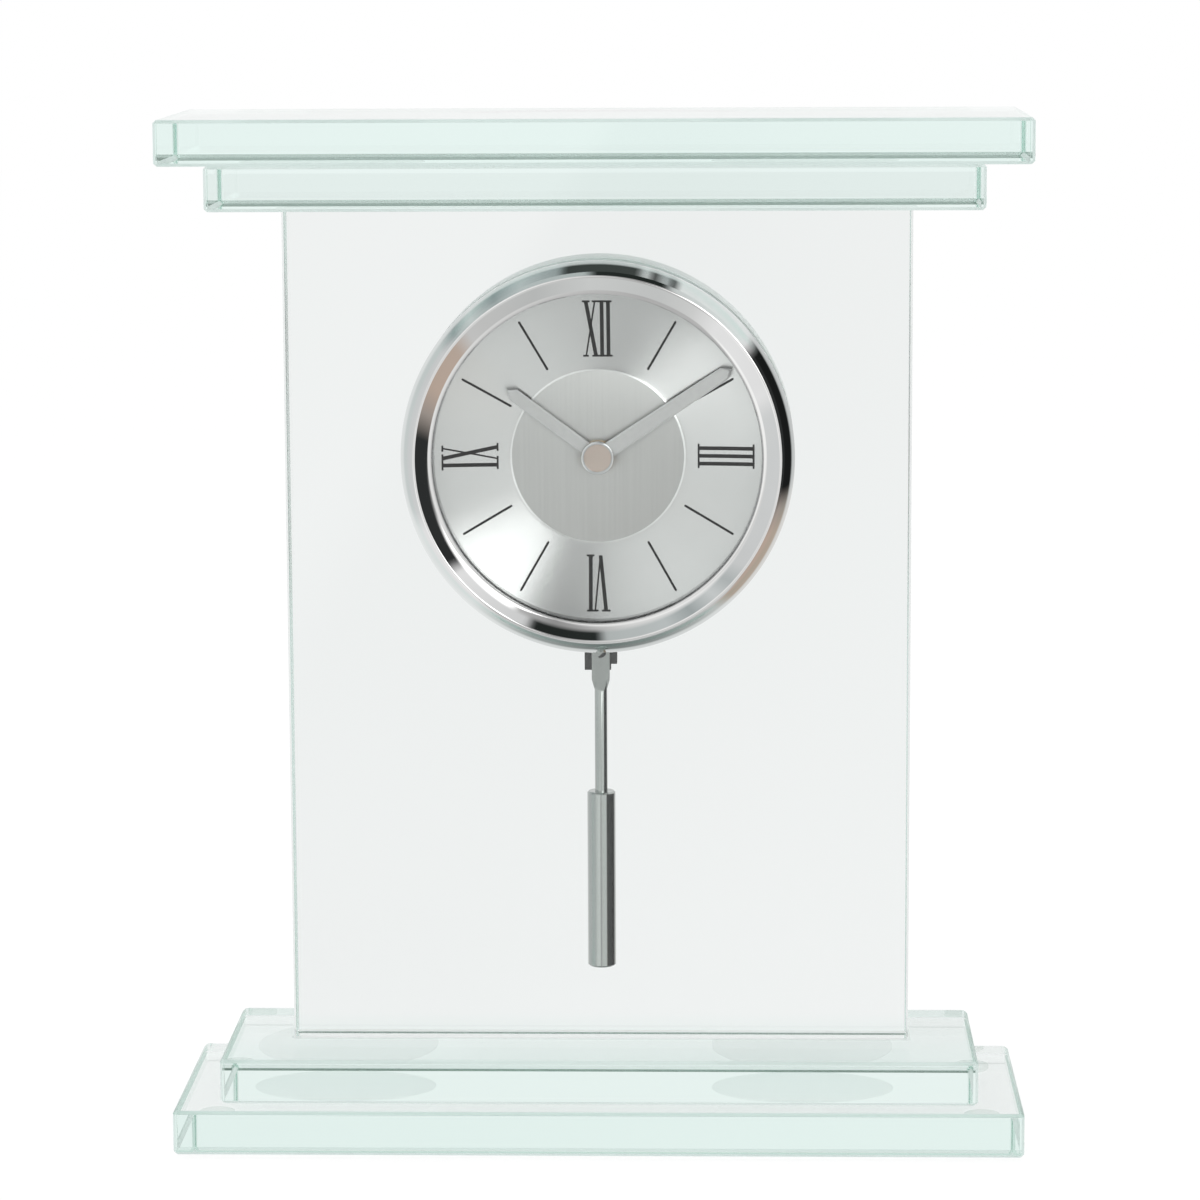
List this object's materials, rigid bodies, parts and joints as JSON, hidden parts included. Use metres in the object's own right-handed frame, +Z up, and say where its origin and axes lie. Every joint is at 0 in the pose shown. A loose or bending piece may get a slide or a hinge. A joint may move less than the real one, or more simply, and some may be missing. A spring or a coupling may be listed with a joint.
{
  "type": "desk pendulum clock",
  "caption": "Glass mantel clock: stepped slab base and cornice, upright panel, round chrome dial insert and a thin rod pendulum hanging behind the panel.",
  "frame": {"origin": "centre of the footprint, on the table under the middle of the base", "axes": "+Z up; the dial faces -Y; +X is to the right for a person who reads the dial"},
  "size_m": [0.19, 0.06, 0.2312],
  "materials": {
    "float_glass": "polished float glass with ground arrises and a green edge tint",
    "clear_adhesive": "clear cured adhesive",
    "clear_bumper": "clear soft bumper",
    "polished_chrome": "polished chrome plate",
    "gasket_foam": "black foam rubber",
    "lens_glass": "flat clear mineral glass",
    "spacer_metal": "turned aluminium, satin",
    "spun_aluminium": "spun silver dial with a circular grain",
    "brushed_aluminium": "straight brushed silver disc",
    "hand_aluminium": "bevelled aluminium, fine satin face",
    "ring_plastic": "moulded black plastic",
    "silver_drum": "moulded plastic with a satin silver coat",
    "zinc_screws": "zinc plated steel",
    "case_plastic": "moulded black plastic, fine texture",
    "brass_work": "turned brass",
    "gear_acetal": "moulded natural acetal",
    "rotor_magnet": "bonded magnet on an acetal arbor",
    "plate_plastic": "moulded glass filled plastic",
    "stator_iron": "stamped soft magnetic iron",
    "coil_copper": "enamelled copper wire winding",
    "board_laminate": "green circuit laminate",
    "cell_jacket": "plain printed jacket on a steel can",
    "contact_nickel": "nickel plated spring steel",
    "knob_plastic": "moulded black plastic, fluted",
    "pivot_steel": "drawn steel",
    "arm_plastic": "moulded black plastic",
    "magnet_nickel": "nickel plated magnet",
    "rod_steel": "bright plated steel wire",
    "bob_metal": "turned aluminium, satin"
  },
  "bodies": {
    "case": {"base_lower_slab": "float_glass", "base_upper_slab": "float_glass", "cornice_lower_slab": "float_glass", "cornice_upper_slab": "float_glass", "glass_panel": "float_glass", "base_bond_discs": "clear_adhesive", "cornice_bond_discs": "clear_adhesive", "panel_foot_bond": "clear_adhesive", "panel_head_bond": "clear_adhesive", "bumper_feet": "clear_bumper", "bezel": "polished_chrome", "front_gasket": "gasket_foam", "rear_gasket": "gasket_foam", "lens": "lens_glass", "dial_spacer_ring": "spacer_metal", "dial_plate": "spun_aluminium", "centre_disc": "brushed_aluminium", "mounting_ring": "ring_plastic", "rear_drum": "silver_drum", "clamp_screws": "zinc_screws", "movement_front_case": "case_plastic", "movement_rear_case": "case_plastic", "bush_nut": "brass_work", "middle_plate": "plate_plastic", "train_bridge": "plate_plastic", "stator": "stator_iron", "motor_coil": "coil_copper", "drive_coil": "coil_copper", "circuit_board": "board_laminate", "battery_cell": "cell_jacket", "contact_positive": "contact_nickel", "contact_negative": "contact_nickel", "pivot_pin": "pivot_steel", "pivot_clip": "pivot_steel"},
    "knob": {"setting_knob": "knob_plastic"},
    "minute_group": {"minute_hand": "hand_aluminium", "cannon_pinion": "brass_work", "hand_cap": "polished_chrome"},
    "hour_group": {"hour_hand": "hand_aluminium", "hour_wheel": "gear_acetal"},
    "motion": {"motion_wheel": "gear_acetal"},
    "seconds": {"seconds_wheel": "gear_acetal"},
    "centre": {"centre_wheel": "gear_acetal"},
    "third": {"third_wheel": "gear_acetal"},
    "intermediate": {"intermediate_wheel": "gear_acetal"},
    "motor_rotor": {"rotor": "rotor_magnet"},
    "pendulum": {"pendulum_arm": "arm_plastic", "pendulum_magnet": "magnet_nickel", "pendulum_rod": "rod_steel", "pendulum_bob": "bob_metal"},
    "door": {"battery_door": "silver_drum"}
  },
  "joints": [
    {"name": "minute_hand_turn", "type": "hinge", "parent": "case", "child": "minute_group", "pos_m": [0, -0.001, 0.155], "axis": [0, 1, 0], "continuous": true},
    {"name": "setting_knob_turn", "type": "hinge", "parent": "case", "child": "knob", "pos_m": [0.01088, 0.012, 0.14993], "axis": [0, 1, 0], "continuous": true},
    {"name": "hour_hand_turn", "type": "hinge", "parent": "case", "child": "hour_group", "pos_m": [0, -0.002, 0.155], "axis": [0, 1, 0], "continuous": true},
    {"name": "motion_wheel_turn", "type": "hinge", "parent": "case", "child": "motion", "pos_m": [0.00544, 0.0012, 0.15246], "axis": [0, 1, 0], "continuous": true},
    {"name": "seconds_wheel_turn", "type": "hinge", "parent": "case", "child": "seconds", "pos_m": [0, 0.0066, 0.155], "axis": [0, 1, 0], "continuous": true},
    {"name": "centre_wheel_turn", "type": "hinge", "parent": "case", "child": "centre", "pos_m": [0, 0.0032, 0.155], "axis": [0, 1, 0], "continuous": true},
    {"name": "third_wheel_turn", "type": "hinge", "parent": "case", "child": "third", "pos_m": [0.0059, 0.0055, 0.15913], "axis": [0, 1, 0], "continuous": true},
    {"name": "intermediate_wheel_turn", "type": "hinge", "parent": "case", "child": "intermediate", "pos_m": [-0.00541, 0.0076, 0.15303], "axis": [0, 1, 0], "continuous": true},
    {"name": "rotor_turn", "type": "hinge", "parent": "case", "child": "motor_rotor", "pos_m": [-0.01049, 0.0092, 0.15066], "axis": [0, 1, 0], "continuous": true},
    {"name": "pendulum_swing", "type": "hinge", "parent": "case", "child": "pendulum", "pos_m": [0, 0.016, 0.147], "axis": [0, 1, 0], "range_deg": [-8, 8]},
    {"name": "battery_door_swing", "type": "hinge", "parent": "case", "child": "door", "pos_m": [0, 0.0193, 0.1678], "axis": [-1, 0, 0], "range_deg": [0, 95]}
  ],
  "couplings": [
    {"joint": "setting_knob_turn", "follows": "minute_hand_turn", "ratio": 1},
    {"joint": "motion_wheel_turn", "follows": "minute_hand_turn", "ratio": -0.33333},
    {"joint": "hour_hand_turn", "follows": "minute_hand_turn", "ratio": 0.083333},
    {"joint": "centre_wheel_turn", "follows": "rotor_turn", "ratio": 0.00055556},
    {"joint": "third_wheel_turn", "follows": "rotor_turn", "ratio": -0.0044444},
    {"joint": "intermediate_wheel_turn", "follows": "rotor_turn", "ratio": -0.16667},
    {"joint": "seconds_wheel_turn", "follows": "rotor_turn", "ratio": 0.033333}
  ]
}
